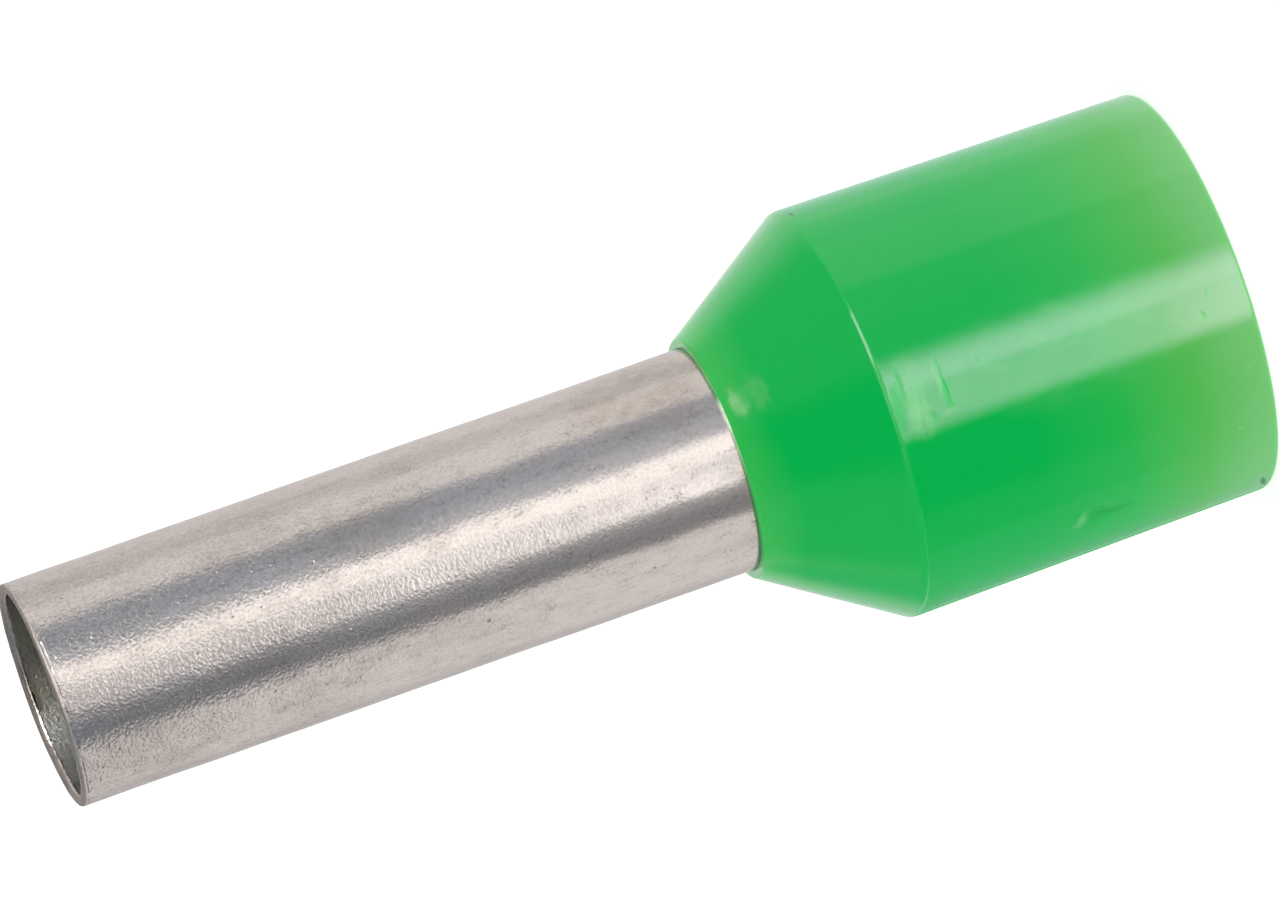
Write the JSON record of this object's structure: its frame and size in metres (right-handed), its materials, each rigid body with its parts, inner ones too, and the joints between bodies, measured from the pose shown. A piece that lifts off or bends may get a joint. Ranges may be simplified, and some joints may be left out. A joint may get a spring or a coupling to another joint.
{
  "type": "wire ferrule",
  "caption": "Insulated wire ferrule: a thin tinned copper tube, cut square at its tip and flared at its back end, in a green plastic collar with a conical shoulder and an open mouth.",
  "frame": {"origin": "centre of the collar's mouth, on the plane that it stands on", "axes": "+Z along the ferrule's axis, from the mouth where the wire goes in to the tip of the bare sleeve"},
  "size_m": [0.0072, 0.0072, 0.0207],
  "materials": {
    "collar_plastic": "moulded green polypropylene, slightly translucent, satin to glossy, faint handling scuffs",
    "tinned_copper": "copper with a thin electroplated tin coat: warm light grey, satin, fine grain and small pits"
  },
  "bodies": {
    "root": {"insulating_collar": "collar_plastic", "metal_sleeve": "tinned_copper"}
  },
  "joints": []
}
